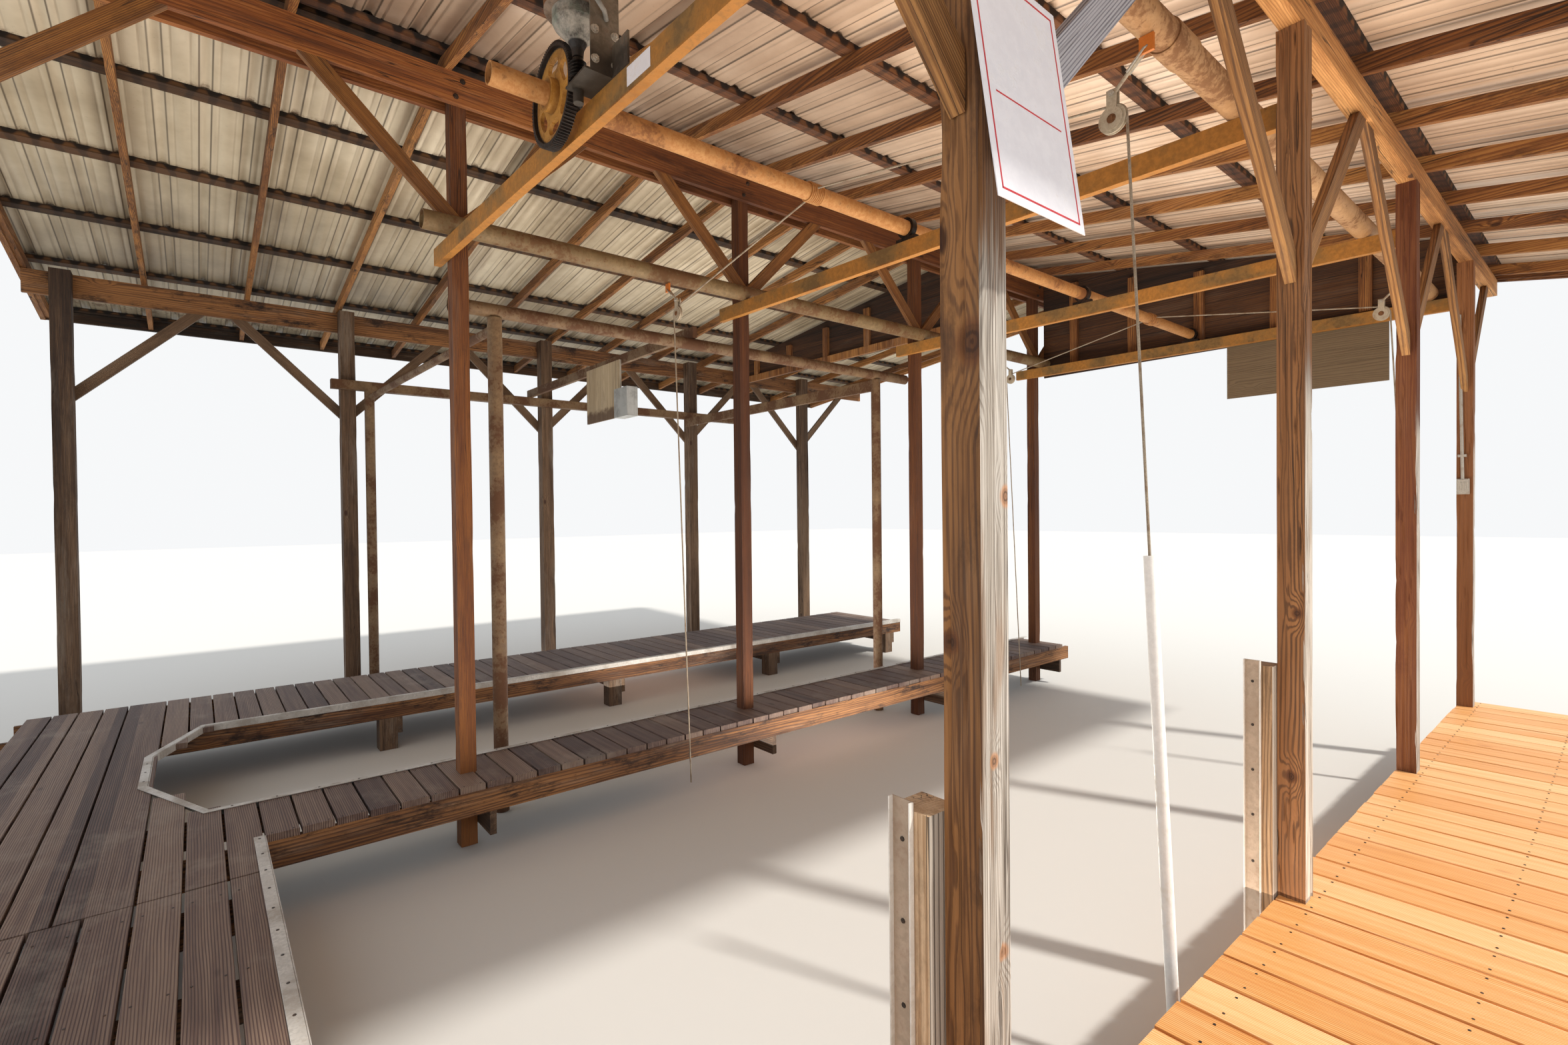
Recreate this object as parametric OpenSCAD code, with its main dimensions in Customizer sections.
// Timber boathouse over two slips, with a worm driven hoist under its roof.
// Built in millimetres. X runs along the slips to the open lake, Y runs from the
// right walkway to the left one, and Z is up from the water line.

/* [Plan] */
// Distance between posts along the slips
bay_len = 2134; // [1800:1:2600]
// Number of bays between the first and the last row of posts
bays = 4; // [2:1:6]
// Distance from the right row of posts to the middle row
main_slip_w = 3730; // [3200:10:4600]
// Distance from the middle row of posts to the left row
side_slip_w = 4160; // [3400:10:5000]
// Height of the deck boards above the water
deck_h = 450; // [300:10:900]

/* [Timber] */
// Side of a right or middle post
post_w = 98; // [89:1:140]
// Side of a left post
shore_post_w = 140; // [98:1:184]
// Thickness of sawn boards and joists
board_t = 38; // [32:1:50]
// Width of a narrow board such as a rafter, purlin or brace
narrow_w = 89; // [70:1:120]
// Depth of the right beam
right_beam_d = 140; // [120:1:240]
// Depth of each board of the middle beam
middle_beam_d = 184; // [140:1:286]
// Depth of the left beam
left_beam_d = 205; // [140:1:286]

/* [Roof] */
// Underside of the rafters at the ridge, above the deck
ridge_under = 4240; // [4000:10:4800]
// Underside of the rafters over the right beam, above the deck
right_under = 3600; // [3300:10:3800]
// Underside of the rafters over the left beam, above the deck
left_under = 3740; // [3400:10:3900]
// Roof length past the first row of posts
shore_overhang = 250; // [120:10:800]
// Roof length past the last row of posts
lake_overhang = 1430; // [600:10:1800]
// Roof width past the right row of posts
right_overhang = 1260; // [600:10:1600]
// Roof width past the left row of posts
left_overhang = 1400; // [600:10:1600]
// Distance between rafters
rafter_pitch = 768; // [500:1:1100]
// Distance between purlins on the right slope
right_purlin_pitch = 932; // [600:1:1200]
// Distance between purlins on the left slope
left_purlin_pitch = 1060; // [600:1:1300]
// Thickness of the roof sheets
sheet_t = 2; // [1:0.5:4]
// Distance between the ribs of the roof sheets
rib_pitch = 229; // [150:1:305]
// Height of the ribs of the roof sheets
rib_h = 19; // [12:1:30]
// How far the sheets reach past the rafters at each end of the roof
sheet_lip = 60; // [38:1:90]
// Depth of the boards along the eaves
fascia_d = 100; // [89:1:240]
// Depth of the boards up the ends of the roof
barge_d = 140; // [127:1:240]
// Distance from the left gable boards back to the last row of posts
gable_in = 1266; // [700:2:1900]
// Underside of the left gable boards, above the deck
gable_under = 3515; // [3400:5:3700]
// Distance from the right gable boards out to the last row of posts
gable_out = 104; // [104:2:200]
// Underside of the right gable boards, above the deck
right_gable_under = 3130; // [3125:5:3400]

/* [Braces] */
// Reach of a brace on the right row
right_brace = 1010; // [600:10:1010]
// Reach of the first post's brace on the right row
first_brace = 930; // [600:10:930]
// Reach of the second post's inner brace on the right row
second_brace = 1090; // [800:10:1100]
// Reach of the second post's outer brace, nailed to its outer face
outer_brace = 1143; // [800:1:1200]
// Reach of a brace on the middle row
middle_brace = 760; // [500:10:1000]
// Reach of a brace on the left row
left_brace = 900; // [500:10:1000]

/* [Decks] */
// Thickness of the deck boards
deck_t = 38; // [25:1:50]
// Depth of the joists under the decks
joist_d = 140; // [120:1:180]
// Width of the right walkway
right_walk_w = 1219; // [900:10:1260]
// Width of the left walkway
left_walk_w = 1200; // [900:10:1500]
// Distance from the left walkway's slip edge to the left posts
left_walk_in = 1850; // [1700:10:2300]
// Width of the finger pier
finger_w = 580; // [400:10:900]
// Main slip's shore end, past the first row of posts
main_slip_end = 1110; // [700:10:1400]
// Side slip's shore end, past the first row of posts
side_slip_end = 630; // [500:10:900]
// Corner cut of the side slip, along the slip
slip_corner = 270; // [150:10:400]
// Corner cut of the side slip, across the slip
slip_corner_w = 670; // [300:10:800]
// Deck length past the last row of posts
deck_overhang = 250; // [100:10:600]
// Height of the bumper posts above the deck
bumper_h = 930; // [600:10:1200]
// How far each bumper post stands toward the shore from its right post
bumper_shift = 50; // [0:5:70]

/* [Hoist] */
// Underside of the cross channels, above the deck
channel_under = 3120; // [3000:10:3200]
// Depth of a cross channel
channel_d = 102; // [76:1:152]
// Flange width of a cross channel
channel_w = 41; // [35:1:60]
// Outer diameter of the winding pipe
pipe_d = 89; // [73:1:114]
// Wall of the winding pipe
pipe_wall = 5.5; // [3:0.5:9]
// Distance from the right row of posts to the winding pipe
pipe_y = 1990; // [1700:10:2300]
// Height of the winding pipe's axis over the channels
bearing_h = 78; // [70:1:110]
// Distance from the first row of posts to the middle of the worm wheel
wheel_x = 2053; // [2030:1:2060]
// Teeth on the worm wheel
wheel_teeth = 96; // [60:4:120]
// Pitch diameter of the worm wheel
wheel_pd = 400; // [360:1:440]
// Face width of the worm wheel
wheel_w = 46; // [36:1:60]
// Pitch diameter of the worm
worm_pd = 56; // [50:1:80]
// Turns of thread on the worm
worm_turns = 5; // [4:1:6]

/* [Lift gear] */
// Outer diameter of the side pipes of the main slip
side_pipe_d = 114; // [89:1:140]
// Wall of the side pipes
side_pipe_wall = 6; // [4:0.5:9]
// Diameter of the lift cables
cable_d = 10; // [8:1:13]
// Distance from the first row of posts to the first pair of cable falls
fall_x1 = 3490; // [3300:10:3700]
// Distance from the first row of posts to the second pair of cable falls
fall_x2 = 7620; // [7400:10:8000]
// Outer diameter of the sleeves on the right cable falls
sleeve_d = 42; // [33:1:60]
// Diameter of a pulley's sheave
sheave_d = 100; // [80:1:120]
// Underside of the small lift's side pipe, above the deck
small_lift_under = 2912; // [2600:1:3000]
// Diameter of the small lift's pipes
small_pipe_d = 95; // [80:1:114]

/* [Hidden] */
fine = 48;

right_y = 0;
middle_y = main_slip_w;
left_y = main_slip_w + side_slip_w;
row_xs = [for (i = [0 : bays]) i * bay_len];
x_lo = -shore_overhang;
x_hi = bays * bay_len + lake_overhang;
roof_len = x_hi - x_lo;

ridge_z = deck_h + ridge_under;
right_beam_y = right_y - board_t;
left_beam_y = left_y + shore_post_w / 2;
near_beam_y = middle_y - post_w / 2 - board_t;
right_z = deck_h + right_under;
left_z = deck_h + left_under;
right_slope = (ridge_z - right_z) / (middle_y - right_beam_y);
left_slope = (ridge_z - left_z) / (left_beam_y + board_t - middle_y);
right_angle = atan(right_slope);
left_angle = atan(left_slope);
right_run = middle_y - right_y + right_overhang;
left_run = left_y - middle_y + left_overhang;
sheet_seat = narrow_w + board_t;
sheet_top = sheet_seat + sheet_t + rib_h;
right_sheet_len = right_run / cos(right_angle);
left_sheet_len = left_run / cos(left_angle);
y_lo = middle_y - right_sheet_len * cos(right_angle) - sheet_top * sin(right_angle);
y_hi = middle_y + left_sheet_len * cos(left_angle) + sheet_top * sin(left_angle);

function under_right(y) = ridge_z - (middle_y - y) * right_slope;
function under_left(y) = ridge_z - (y - middle_y) * left_slope;
middle_beam_z = under_right(near_beam_y);

deck_z = deck_h - deck_t;
joist_z = deck_z - joist_d;
bearer_z = joist_z - joist_d;
deck_x = x_lo;
deck_end = bays * bay_len + deck_overhang;
right_walk_y = right_y + post_w / 2;
finger_y = middle_y - finger_w / 2;
left_walk_y = left_y - left_walk_in;
left_walk_out = left_walk_y + left_walk_w;
slip_out = side_slip_end + slip_corner;

channel_z = deck_h + channel_under;
channel_top = channel_z + channel_d;
channel_web = 6;
channel_skew = atan((post_w + channel_w) / (main_slip_w - post_w));
pipe_z = channel_top + bearing_h;
pipe_x1 = 1785;
pipe_x2 = bays * bay_len + 40;
worm_y = pipe_y - (wheel_pd + worm_pd) / 2;
gear_module = wheel_pd / wheel_teeth;
thread_pitch = PI * gear_module;
worm_len = worm_turns * thread_pitch;

side_pipe_z = channel_top + side_pipe_d / 2;
side_pipe_ry = 220;
side_pipe_my = middle_y - 150;
pulley_z = 3430;
small_pipe_z = deck_h + small_lift_under + small_pipe_d / 2;
small_post_x = 2460;
small_far_x = 2320;
small_end_x = 6220;
small_y = middle_y + 360;
small_rail_y = left_y - shore_post_w / 2;
small_board_y = left_y - 2570;
small_board_x = 4020;

// Puts the part's origin at the middle of its footprint.
module place() {
    translate([-(x_lo + x_hi) / 2, -(y_lo + y_hi) / 2, 0]) children();
}

// A box given by its lowest and its highest corner.
module span(lo, hi) {
    translate(lo) cube(hi - lo);
}

// A profile drawn across and up, extruded along X.
module along_x(x, len) {
    translate([x, 0, 0]) rotate([90, 0, 90]) linear_extrude(len) children();
}

// Frames that lie on each slope, with Y along it and Z square to it.
module on_right_slope() {
    translate([0, middle_y, ridge_z]) rotate([right_angle, 0, 0]) children();
}

module on_left_slope() {
    translate([0, middle_y, ridge_z]) rotate([-left_angle, 0, 0]) children();
}

// A round bar between two points.
module rod(p, q, d) {
    v = q - p;
    len = norm(v);
    translate(p) rotate([0, acos(v[2] / len), atan2(v[1], v[0])]) cylinder(h = len, d = d, $fn = fine);
}

// A pipe along X.
module pipe_x(x1, x2, y, z, d, wall) {
    translate([x1, y, z]) rotate([0, 90, 0]) difference() {
        cylinder(h = x2 - x1, d = d, $fn = fine);
        translate([0, 0, -1]) cylinder(h = x2 - x1 + 2, d = d - 2 * wall, $fn = fine);
    }
}

module post_row(y, w, top) {
    for (x = row_xs)
        span([x - w / 2, y - w / 2, 0], [x + w / 2, y + w / 2, top]);
}

module posts_right() {
    color("sienna") place() post_row(right_y, post_w, right_z - right_beam_d);
}

module posts_middle() {
    color("sienna") place() post_row(middle_y, post_w, middle_beam_z);
}

module posts_left() {
    color("saddlebrown") place() post_row(left_y, shore_post_w, under_left(left_y + shore_post_w / 2));
}

module beam_right() {
    color("peru") place()
        span([x_lo, right_beam_y, right_z - right_beam_d], [x_hi, right_y + board_t, right_z]);
}

// Two boards that clasp the middle posts.
module beam_middle() {
    color("peru") place() for (y = [near_beam_y, middle_y + post_w / 2])
        span([x_lo, y, middle_beam_z - middle_beam_d], [x_hi, y + board_t, middle_beam_z]);
}

module beam_left() {
    color("saddlebrown") place()
        span([x_lo, left_beam_y, left_z - left_beam_d], [x_hi, left_beam_y + board_t, left_z]);
}

// One brace: a board at 45 degrees from a post up to a beam. It starts "start"
// from the post's middle, in the layer whose middle is at y.
module brace(x, dir, y, reach, start, half, top) {
    cut = narrow_w * sqrt(2);
    foot = start - half;
    translate([x + dir * half, y + board_t / 2, 0]) rotate([90, 0, 0]) linear_extrude(board_t)
        polygon([[dir * foot, top - reach + foot], [dir * foot, top - reach + foot + cut],
            [dir * (reach - cut), top], [dir * reach, top]]);
}

// Braces to both sides of the posts of a row, where the beam reaches that far.
module brace_row(y, reach, start, half, top, first = 0) {
    for (i = [first : bays], dir = [-1, 1])
        if ((i > 0 || dir > 0) && (i < bays || dir < 0 || half + reach < lake_overhang))
            brace(row_xs[i], dir, y, reach, start, half, top);
}

// The second post's outer brace runs up past the underside of the beam.
module braces_right() {
    half = post_w / 2;
    top = right_z - right_beam_d;
    past = 120;
    color("tan") place() {
        brace(row_xs[0], 1, right_y, first_brace, half, half, top);
        brace(row_xs[1], -1, right_y, second_brace, half, half, top);
        brace(row_xs[1], 1, right_y - half - board_t / 2, outer_brace + past, 2, half, top + past);
        brace_row(right_y, right_brace, half, half, top, 2);
    }
}

module braces_middle() {
    color("peru") place()
        brace_row(near_beam_y + board_t / 2, middle_brace, 2, post_w / 2, middle_beam_z - middle_beam_d);
}

module braces_left() {
    color("saddlebrown") place()
        brace_row(left_beam_y + board_t / 2, left_brace, 2, shore_post_w / 2, left_z - left_beam_d);
}

rafter_xs = concat([for (x = [x_lo : rafter_pitch : x_hi - 2 * board_t]) x], [x_hi - board_t]);

module rafters_right() {
    depth = narrow_w / cos(right_angle);
    tail = middle_y - right_run + board_t;
    color("peru") place() for (x = rafter_xs) along_x(x, board_t)
        polygon([[tail, under_right(tail)], [middle_y, ridge_z], [middle_y, ridge_z + depth],
            [tail, under_right(tail) + depth]]);
}

module rafters_left() {
    depth = narrow_w / cos(left_angle);
    tail = middle_y + left_run - board_t;
    color("peru") place() for (x = rafter_xs) along_x(x, board_t)
        polygon([[tail, under_left(tail)], [middle_y, ridge_z], [middle_y, ridge_z + depth],
            [tail, under_left(tail) + depth]]);
}

// Distances down a slope from the ridge to each purlin's lower edge.
function purlin_runs(pitch, len) =
    concat([for (s = [narrow_w + 16 : pitch : len - 2.5 * narrow_w]) s], [len - 10]);

module purlins_right() {
    color("saddlebrown") place() on_right_slope() for (s = purlin_runs(right_purlin_pitch, right_sheet_len))
        span([x_lo, -s, narrow_w], [x_hi, narrow_w - s, sheet_seat]);
}

module purlins_left() {
    color("saddlebrown") place() on_left_slope() for (s = purlin_runs(left_purlin_pitch, left_sheet_len))
        span([x_lo, s - narrow_w, narrow_w], [x_hi, s, sheet_seat]);
}

sheet_w = roof_len + 2 * sheet_lip;
rib_count = floor(sheet_w / rib_pitch);
rib_base = 64;
rib_top = 26;

// Outline of a ribbed sheet, drawn along the roof.
module sheet_profile() {
    first = (sheet_w - (rib_count - 1) * rib_pitch) / 2;
    centres = [for (i = [0 : rib_count - 1]) first + i * rib_pitch];
    rim = concat([[0, 0]], [for (c = centres) each [[c - rib_base / 2, 0], [c - rib_top / 2, rib_h],
        [c + rib_top / 2, rib_h], [c + rib_base / 2, 0]]], [[sheet_w, 0]]);
    back = [for (i = [len(rim) - 1 : -1 : 0]) rim[i] + [0, sheet_t]];
    polygon(concat(rim, back));
}

module roof_sheet_right() {
    color("lightgray") place() on_right_slope() translate([x_lo - sheet_lip, 0, sheet_seat])
        rotate([90, 0, 0]) linear_extrude(right_sheet_len) sheet_profile();
}

module roof_sheet_left() {
    color("lightgray") place() on_left_slope() translate([x_lo - sheet_lip, left_sheet_len, sheet_seat])
        rotate([90, 0, 0]) linear_extrude(left_sheet_len) sheet_profile();
}

// How far the ridge cap lies above the ribs.
cap_gap = 0.3;

module ridge_cap() {
    flap = 170;
    lift = sheet_top / cos(right_angle) + cap_gap;
    lo = middle_y - flap;
    hi = middle_y + flap;
    color("silver") place() along_x(x_lo - sheet_lip, sheet_w)
        polygon([[lo, under_right(lo) + lift], [middle_y, ridge_z + lift], [hi, under_left(hi) + lift],
            [hi, under_left(hi) + lift + sheet_t], [middle_y, ridge_z + lift + sheet_t],
            [lo, under_right(lo) + lift + sheet_t]]);
}

// A board across the rafter ends along each eave.
module fascia_boards() {
    low = middle_y - right_run;
    high = middle_y + left_run;
    low_z = under_right(low) + narrow_w;
    high_z = under_left(high) + narrow_w;
    color("saddlebrown") place() {
        span([x_lo, low, low_z - fascia_d], [x_hi, low + board_t, low_z]);
        span([x_lo, high - board_t, high_z - fascia_d], [x_hi, high, high_z]);
    }
}

module barge_boards() {
    lo = middle_y - right_run;
    hi = middle_y + left_run;
    top = sheet_seat;
    low = sheet_seat - barge_d;
    color("peru") place() for (x = [x_lo - board_t, x_hi]) along_x(x, board_t)
        polygon([[lo, under_right(lo) + top], [lo, under_right(lo) + low], [middle_y, ridge_z + low],
            [hi, under_left(hi) + low], [hi, under_left(hi) + top], [middle_y, ridge_z + top]]);
}

gable_z = deck_h + gable_under;
gable_x = bays * bay_len - gable_in;
right_gable_z = deck_h + right_gable_under;
right_gable_x = bays * bay_len + gable_out;
gable_t = 19;
panel_t = 12;

// Boards that close the roof space, on the right at the last row of posts and
// on the left farther in, and a panel that hangs under the right ones.
module gable_boards() {
    lo = right_y + board_t;
    far = middle_y + post_w / 2 + board_t;
    color("sienna") place() {
        along_x(right_gable_x, gable_t) polygon([[lo, right_gable_z], [near_beam_y, right_gable_z],
            [near_beam_y, middle_beam_z + narrow_w], [lo, under_right(lo) + narrow_w]]);
        span([right_gable_x - panel_t, right_y + 480, right_gable_z - 500],
            [right_gable_x, right_y + 1700, right_gable_z + 70]);
        along_x(gable_x, gable_t) polygon([[far, gable_z], [left_beam_y, gable_z],
            [left_beam_y, under_left(left_beam_y) + narrow_w], [far, under_left(far) + narrow_w]]);
    }
}

// The tie under the left gable boards, and the studs of both.
module gable_studs() {
    x = gable_x - board_t;
    stud_pitch = 740;
    foot = gable_z + narrow_w + 2;
    right_x = right_gable_x - board_t;
    right_foot = right_gable_z + 110;
    color("peru") place() {
        span([x, middle_y + post_w / 2 + board_t, gable_z], [gable_x, left_beam_y, gable_z + narrow_w]);
        for (y = [right_y + 590 : 655 : near_beam_y - 2 * narrow_w])
            span([right_x, y, right_foot], [right_gable_x, y + narrow_w, under_right(y)]);
        for (y = [middle_y + 670 : stud_pitch : left_beam_y - 2 * narrow_w])
            span([x, y, foot], [gable_x, y + narrow_w, under_left(y + narrow_w)]);
    }
}

// A channel lying along Y, its web on the shore side.
module channel(len) {
    rotate([-90, 0, 0]) linear_extrude(len)
        polygon([[0, 0], [channel_w, 0], [channel_w, -channel_web], [channel_web, -channel_web],
            [channel_web, channel_web - channel_d], [channel_w, channel_web - channel_d],
            [channel_w, -channel_d], [0, -channel_d]]);
}

// Each channel passes a right post on its lake side and a middle post on its shore side.
module cross_channels() {
    color("darkgoldenrod") place() for (i = [1 : bays])
        translate([row_xs[i] + post_w / 2, right_y + post_w / 2, channel_z]) rotate([0, 0, channel_skew])
            translate([0, -90, 0]) channel(main_slip_w + 200);
}

module walkway_right() {
    color("orange") place() difference() {
        span([deck_x, right_walk_y - right_walk_w, deck_z], [deck_end, right_walk_y, deck_h]);
        post_row(right_y, post_w, deck_h + 1);
    }
}

// The deck at the shore, cut around the ends of both slips.
module head_deck() {
    color("sienna") place() difference() {
        translate([0, 0, deck_z]) linear_extrude(deck_t)
            polygon([[deck_x, right_walk_y], [main_slip_end, right_walk_y],
                [main_slip_end, finger_y + finger_w], [slip_out, finger_y + finger_w],
                [side_slip_end, finger_y + finger_w + slip_corner_w],
                [side_slip_end, left_walk_y - slip_corner_w], [slip_out, left_walk_y],
                [slip_out, left_walk_out], [deck_x, left_walk_out]]);
        post_row(middle_y, post_w, deck_h + 1);
    }
}

module finger_pier() {
    color("sienna") place() difference() {
        span([main_slip_end, finger_y, deck_z], [deck_end, finger_y + finger_w, deck_h]);
        post_row(middle_y, post_w, deck_h + 1);
    }
}

module walkway_left() {
    color("sienna") place() span([slip_out, left_walk_y, deck_z], [deck_end, left_walk_out, deck_h]);
}

module joist_x(x1, x2, y) {
    span([x1, y, joist_z], [x2, y + board_t, deck_z]);
}

// Joists along the slips.
module dock_joists() {
    lo = right_walk_y - right_walk_w;
    fin = finger_y + finger_w;
    color("sienna") place() {
        for (y = [lo, (lo + right_y) / 2, right_y - post_w / 2 - board_t])
            joist_x(deck_x, deck_end, y);
        for (y = [finger_y, fin - board_t])
            joist_x(deck_x, deck_end, y);
        for (y = [left_walk_y, (left_walk_y + left_walk_out) / 2, left_walk_out - board_t])
            joist_x(deck_x, deck_end, y);
        for (y = [right_walk_y + 100 : 677 : finger_y - 400])
            joist_x(deck_x, main_slip_end - board_t, y);
        for (y = [fin + 500 : 500 : left_walk_y - 400])
            joist_x(deck_x, side_slip_end - board_t, y);
    }
}

// Bearers across the slips at each row of posts, and the edge board of the main slip.
module dock_bearers() {
    lo = right_walk_y - right_walk_w;
    fin = finger_y + finger_w;
    a = post_w / 2;
    b = shore_post_w / 2;
    color("sienna") place() {
        span([a, lo, bearer_z], [a + board_t, fin, joist_z]);
        span([b, fin + 2, bearer_z], [b + board_t, left_beam_y, joist_z]);
        for (i = [1 : bays]) {
            x = row_xs[i];
            span([x + a, lo, bearer_z], [x + a + board_t, right_walk_y, joist_z]);
            span([x + a, finger_y, bearer_z], [x + a + board_t, fin, joist_z]);
            span([x + b, left_walk_y, bearer_z], [x + b + board_t, left_beam_y, joist_z]);
        }
        span([main_slip_end - board_t, right_walk_y, joist_z], [main_slip_end, finger_y, deck_z]);
    }
}

module dock_piles() {
    outer = right_walk_y - right_walk_w;
    color("dimgray") place() {
        for (x = row_xs) {
            span([x - post_w / 2, outer, 0], [x + post_w / 2, outer + post_w, joist_z]);
            span([x - shore_post_w / 2, left_walk_y, 0],
                [x + shore_post_w / 2, left_walk_y + shore_post_w, joist_z]);
        }
        for (y = [right_walk_y + 750 : 677 : finger_y - 400])
            span([main_slip_end - 300, y, 0], [main_slip_end - 300 + post_w, y + post_w, joist_z]);
        for (y = [finger_y + finger_w + 500, finger_y + finger_w + 1500])
            span([side_slip_end - 300, y, 0], [side_slip_end - 300 + post_w, y + post_w, joist_z]);
    }
}

// Short posts nailed to the slip side of the second and third right posts.
module slip_bumpers() {
    color("peru") place() for (x = [row_xs[1] - bumper_shift, row_xs[2] - bumper_shift])
        span([x - post_w / 2, right_walk_y, 0], [x + post_w / 2, right_walk_y + post_w, deck_h + bumper_h]);
}

wrap_xs = [for (f = [fall_x1, fall_x2], i = [0 : 7]) f + (i - 3.5) * (cable_d + 2)];

// The pipe that winds the cables, with their turns on it.
module winding_pipe() {
    color("darkgoldenrod") place() {
        pipe_x(pipe_x1, pipe_x2, pipe_y, pipe_z, pipe_d, pipe_wall);
        for (x = wrap_xs)
            translate([x, pipe_y, pipe_z]) rotate([0, 90, 0]) rotate_extrude($fn = fine)
                translate([pipe_d / 2 + cable_d / 2 - 1, 0]) circle(d = cable_d, $fn = 16);
    }
}

// Outline of the wheel, with teeth thinned so that they run free of the worm.
module wheel_outline() {
    step = 360 / wheel_teeth;
    tip_r = wheel_pd / 2 + gear_module;
    root_r = wheel_pd / 2 - 1.25 * gear_module;
    mid = 0.4 * thread_pitch;
    tip_a = (mid - 2 * gear_module * tan(20)) / 2 / tip_r * 180 / PI;
    root_a = (mid + 2.5 * gear_module * tan(20)) / 2 / root_r * 180 / PI;
    polygon([for (i = [0 : wheel_teeth - 1]) each [
        root_r * [cos(i * step - root_a), sin(i * step - root_a)],
        tip_r * [cos(i * step - tip_a), sin(i * step - tip_a)],
        tip_r * [cos(i * step + tip_a), sin(i * step + tip_a)],
        root_r * [cos(i * step + root_a), sin(i * step + root_a)]]]);
}

// A curved slot between two angles.
module kidney(r, w, half_angle) {
    intersection() {
        difference() {
            circle(r = r + w / 2, $fn = 96);
            circle(r = r - w / 2, $fn = 96);
        }
        polygon([[0, 0], 2 * r * [cos(half_angle), -sin(half_angle)], [2 * r, 0],
            2 * r * [cos(half_angle), sin(half_angle)]]);
    }
    for (a = [-half_angle, half_angle])
        rotate(a) translate([r, 0]) circle(d = w - 5, $fn = 24);
}

module worm_wheel() {
    rim_r = wheel_pd / 2 - 16;
    web_t = 16;
    hub_r = pipe_d / 2 + 22;
    color("goldenrod") place() translate([wheel_x, pipe_y, pipe_z]) rotate([90, 0, 90]) difference() {
        union() {
            translate([0, 0, -wheel_w / 2]) linear_extrude(wheel_w) difference() {
                wheel_outline();
                circle(r = rim_r, $fn = 96);
            }
            translate([0, 0, -web_t / 2]) cylinder(h = web_t, r = rim_r + 1, $fn = 96);
            translate([0, 0, -40]) cylinder(h = 80, r = hub_r, $fn = fine);
        }
        translate([0, 0, -41]) cylinder(h = 82, d = pipe_d + 0.4, $fn = fine);
        for (i = [0 : 5])
            rotate(i * 60 + 30) translate([0, 0, -web_t / 2 - 1]) linear_extrude(web_t + 2)
                kidney((hub_r + rim_r) / 2, 52, 13);
    }
}

// A single-start right-hand thread. Its section is turned as it rises.
module worm() {
    tip_r = worm_pd / 2 + gear_module;
    root_r = worm_pd / 2 - 1.25 * gear_module;
    tip_w = 0.2 - gear_module * tan(20) / thread_pitch;
    root_w = 0.2 + 1.25 * gear_module * tan(20) / thread_pitch;
    phase = 90 - 180 * (worm_turns + 1);
    function away(a) = abs(a > 180 ? a - 360 : a) / 360;
    function reach(t) = t <= tip_w ? tip_r : t >= root_w ? root_r
        : tip_r - (tip_r - root_r) * (t - tip_w) / (root_w - tip_w);
    color("dimgray") place() translate([wheel_x, worm_y, pipe_z - worm_len / 2]) rotate([0, 0, phase])
        linear_extrude(worm_len, twist = -360 * worm_turns, slices = 18 * worm_turns)
            polygon([for (a = [0 : 11.25 : 348.75]) reach(away(a)) * [cos(a), sin(a)]]);
}

shaft_d = 24;

// The ends of the worm's shaft, up into the motor and down into its bearing.
module worm_shaft() {
    color("gray") place() translate([wheel_x, worm_y, pipe_z]) {
        translate([0, 0, worm_len / 2]) cylinder(h = 48, d = shaft_d, $fn = fine);
        translate([0, 0, worm_len / 2 + 1]) cylinder(h = 10, d = 40, $fn = fine);
        translate([0, 0, -worm_len / 2 - 34]) cylinder(h = 34, d = shaft_d, $fn = fine);
    }
}

// Bearings for the winding pipe, one on each channel.
module pipe_bearings() {
    over = post_w / 2 + channel_w / 2 - (pipe_y - post_w / 2) * tan(channel_skew);
    color("black") place() for (i = [1 : bays])
        translate([row_xs[i] + over, pipe_y, pipe_z])
            difference() {
                union() {
                    translate([-19, 0, 0]) rotate([0, 90, 0]) cylinder(h = 38, d = pipe_d + 36, $fn = fine);
                    span([-19, -75, channel_top - pipe_z], [19, 75, channel_top - pipe_z + 22]);
                }
                translate([-20, 0, 0]) rotate([0, 90, 0]) cylinder(h = 40, d = pipe_d + 1, $fn = fine);
            }
}

// Plates that carry the motor and the worm's lower bearing on the first channel.
module drive_bracket() {
    back = worm_y - 156;
    color("gray") place() {
        span([wheel_x - 43, back, channel_top], [wheel_x + 97, worm_y + 22, channel_top + 8]);
        span([wheel_x - 18, back, channel_top + 8], [wheel_x + 97, back + 8, channel_top + 560]);
        span([wheel_x + 67, back - 126, channel_top], [wheel_x + 75, back, channel_top + 118]);
        translate([wheel_x, worm_y, channel_top + 8]) difference() {
            cylinder(h = 30, d = 44, $fn = fine);
            translate([0, 0, 1]) cylinder(h = 30, d = shaft_d + 1.6, $fn = fine);
        }
        translate([wheel_x, worm_y, channel_top - 50]) cylinder(h = 50, d = 40, $fn = fine);
    }
}

// An upright motor with its shaft turned down.
module hoist_motor() {
    base = pipe_z + worm_len / 2 + 16;
    color("saddlebrown") place() difference() {
        union() {
            translate([wheel_x, worm_y, 0]) rotate_extrude($fn = fine)
                polygon([[0, base], [21, base], [24, base + 30], [36, base + 56], [88, base + 108],
                    [95, base + 122], [95, base + 164], [125, base + 164], [125, base + 452],
                    [110, base + 474], [0, base + 486]]);
            span([wheel_x - 38, worm_y - 148, base + 200], [wheel_x + 38, worm_y - 80, base + 380]);
        }
        translate([wheel_x, worm_y, base - 1]) cylinder(h = 46, d = shaft_d + 2, $fn = fine);
    }
}

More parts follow.
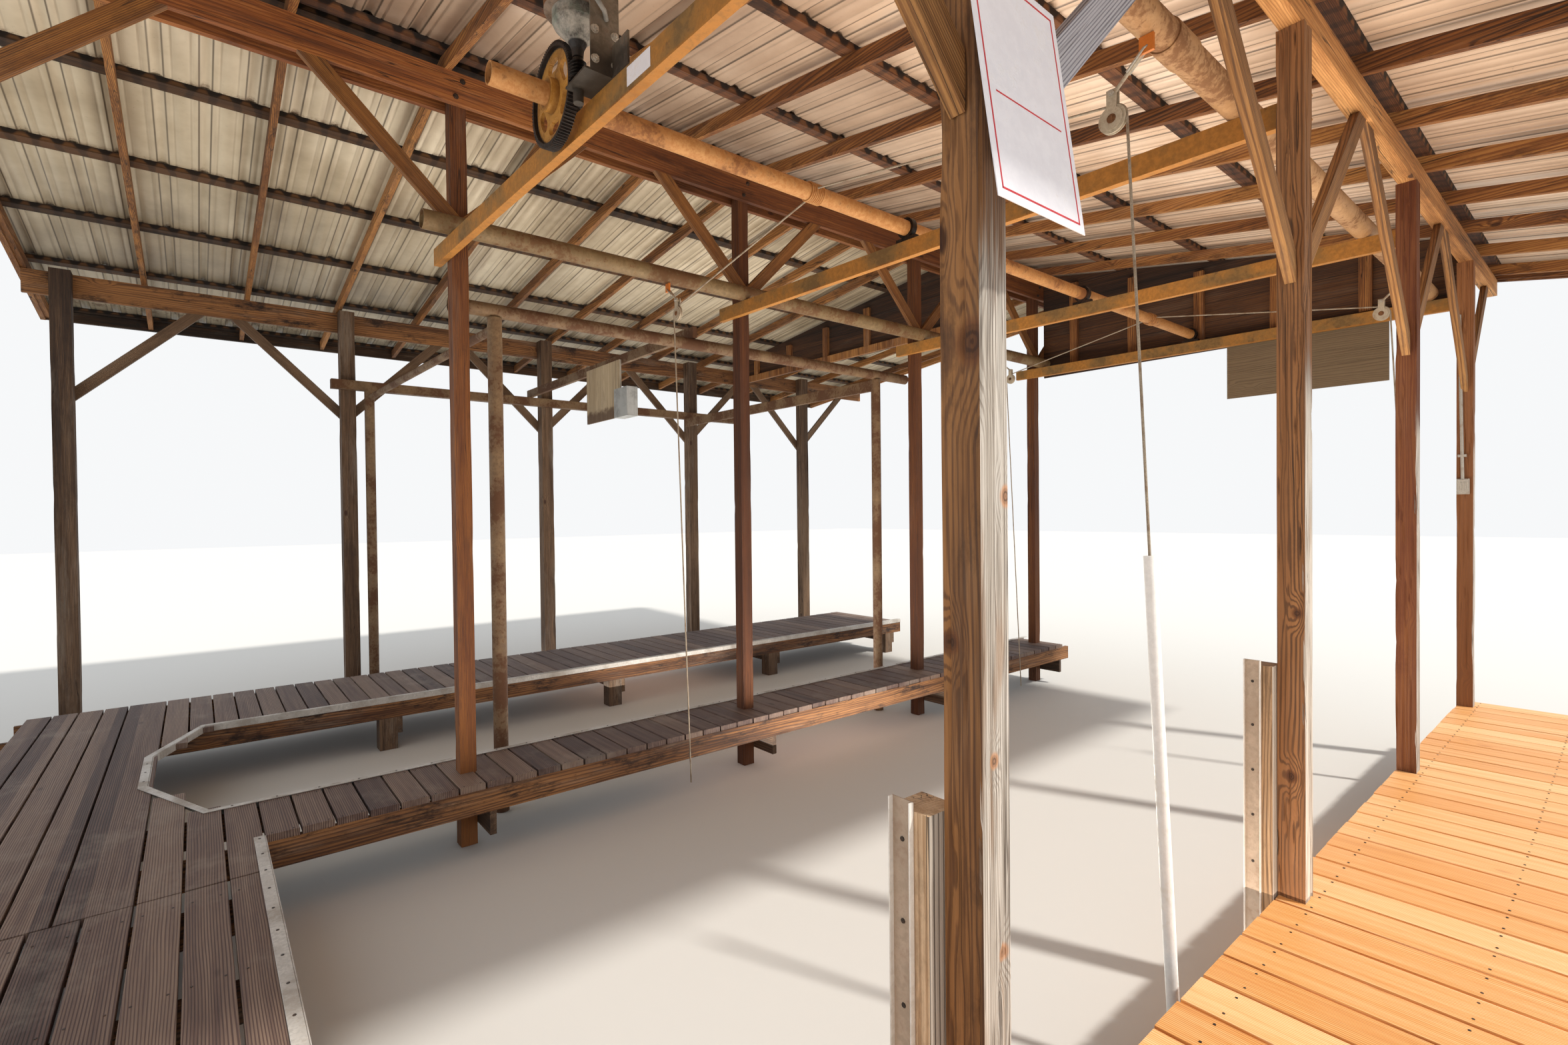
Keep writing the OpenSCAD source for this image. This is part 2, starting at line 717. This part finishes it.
module side_pipe_right() {
    color("gray") place() pipe_x(1900, pipe_x2, side_pipe_ry, side_pipe_z, side_pipe_d, side_pipe_wall);
}

module side_pipe_middle() {
    color("gray") place() pipe_x(1900, pipe_x2, side_pipe_my, side_pipe_z, side_pipe_d, side_pipe_wall);
}

falls = [fall_x1, fall_x2];
right_pulley_y = side_pipe_ry + 120;
middle_pulley_y = side_pipe_my - 130;

// A sheave between two cheeks, hung from a pipe by a leaning link and an eye plate.
module pulley(x, y, hang_y) {
    pin_z = pulley_z + sheave_d / 2 + 40;
    translate([x - 9, y, pulley_z]) rotate([0, 90, 0]) difference() {
        cylinder(h = 18, d = sheave_d, $fn = fine);
        translate([0, 0, 9]) rotate_extrude($fn = fine)
            translate([sheave_d / 2, 0]) circle(d = cable_d + 0.6, $fn = 24);
    }
    for (side = [-14, 9]) {
        translate([x + side, y, pulley_z]) rotate([0, 90, 0]) cylinder(h = 5, d = sheave_d * 0.8, $fn = fine);
        span([x + side, y - 18, pulley_z], [x + side + 5, y + 18, pin_z + 14]);
    }
    translate([x - 14, y, pin_z]) rotate([0, 90, 0]) cylinder(h = 28, d = 16, $fn = fine);
    rod([x, y, pin_z], [x, hang_y, channel_top - 40], 14);
    span([x - 6, hang_y - 25, channel_top - 60], [x + 6, hang_y + 25, channel_top]);
}

module pulley_blocks() {
    color("silver") place() for (x = falls) {
        pulley(x - 24, right_pulley_y, side_pipe_ry);
        pulley(x + 24, middle_pulley_y, side_pipe_my);
    }
}

fall_end = 140;
right_top = right_pulley_y - sheave_d / 2;
middle_top = middle_pulley_y + sheave_d / 2;
right_foot = right_walk_y + 90;
middle_foot = finger_y - 90;

// The turn of a cable over its sheave, a little short of both straight lengths.
module over_sheave(x, y, turn) {
    translate([x, y, pulley_z]) rotate([90, 0, 90]) rotate([0, 0, turn + 2])
        rotate_extrude(angle = 86, $fn = fine) translate([sheave_d / 2, 0]) circle(d = cable_d, $fn = 24);
}

// Cables from the winding pipe over the pulleys and down to the lift.
module lift_cables() {
    reach = pipe_d / 2 + 1.5 * cable_d + 8;
    over = pulley_z + sheave_d / 2;
    color("gainsboro") place() for (x = falls) {
        rod([x - 24, pipe_y - reach, pipe_z], [x - 24, right_pulley_y, over], cable_d);
        over_sheave(x - 24, right_pulley_y, 90);
        rod([x - 24, right_top, pulley_z], [x - 24, right_foot, fall_end], cable_d);
        rod([x + 24, pipe_y + reach, pipe_z], [x + 24, middle_pulley_y, over], cable_d);
        over_sheave(x + 24, middle_pulley_y, 0);
        rod([x + 24, middle_top, pulley_z], [x + 24, middle_foot, fall_end], cable_d);
    }
}

// A point on a right cable fall at height z.
function fall_point(x, z) =
    [x - 24, right_top + (right_foot - right_top) * (pulley_z - z) / (pulley_z - fall_end), z];

// Sleeves on the right falls, each with a cap at its top.
module cable_sleeves() {
    color("white") place() for (s = [[fall_x1, 210, 1850], [fall_x2, 350, 1680]]) difference() {
        rod(fall_point(s[0], s[1]), fall_point(s[0], s[2]), sleeve_d);
        rod(fall_point(s[0], s[1] - 20), fall_point(s[0], s[2] - 12), sleeve_d - 8);
        rod(fall_point(s[0], s[1] - 20), fall_point(s[0], s[2] + 20), cable_d + 0.4);
    }
}

small_top = small_pipe_z - small_pipe_d / 2;
small_in_y = small_rail_y - small_pipe_d / 2;

// Pipe posts of the small lift over the side slip.
module small_lift_posts() {
    feet = [[small_post_x, small_y], [small_far_x, small_in_y], [small_end_x, small_y]];
    color("gray") place() for (p = feet)
        translate([p[0], p[1], 0]) cylinder(h = small_top, d = small_pipe_d, $fn = fine);
}

// The side pipe, and the timber rail on the left posts.
module small_lift_rails() {
    color("gray") place() {
        pipe_x(small_far_x - 150, small_end_x + 450, small_y, small_pipe_z, small_pipe_d, 5);
        span([small_far_x - 350, small_rail_y - small_pipe_d, small_top],
            [small_end_x + 1050, small_rail_y, small_top + small_pipe_d]);
    }
}

// A cross pipe, a cross beam and the board that carries the controls.
module small_lift_cross() {
    near = small_y + small_pipe_d / 2;
    high = small_top + small_pipe_d;
    from = [small_post_x, small_y, small_top - 70];
    to = [small_far_x, small_in_y, small_top - 70];
    inset = (to - from) / norm(to - from) * small_pipe_d / 2;
    color("gray") place() {
        rod(from + inset, to - inset, 60);
        span([small_end_x - 19, near, small_top - 110],
            [small_end_x + 19, small_rail_y - small_pipe_d, small_top - 2]);
        span([small_board_x, small_y - 40, high], [small_board_x + board_t, small_rail_y, high + narrow_w]);
    }
}

module control_board() {
    color("tan") place() {
        span([small_board_x - 18, small_board_y, small_top - 410],
            [small_board_x, small_board_y + 740, small_top + small_pipe_d + 40]);
        span([small_board_x - 80, small_board_y - 260, small_top - 430],
            [small_board_x + 30, small_board_y, small_top - 160]);
    }
}

posts_right();
posts_middle();
posts_left();
beam_right();
beam_middle();
beam_left();
braces_right();
braces_middle();
braces_left();
rafters_right();
rafters_left();
purlins_right();
purlins_left();
roof_sheet_right();
roof_sheet_left();
ridge_cap();
fascia_boards();
barge_boards();
gable_boards();
gable_studs();
cross_channels();
walkway_right();
head_deck();
finger_pier();
walkway_left();
dock_joists();
dock_bearers();
dock_piles();
slip_bumpers();
winding_pipe();
worm_wheel();
worm();
worm_shaft();
pipe_bearings();
drive_bracket();
hoist_motor();
side_pipe_right();
side_pipe_middle();
pulley_blocks();
lift_cables();
cable_sleeves();
small_lift_posts();
small_lift_rails();
small_lift_cross();
control_board();
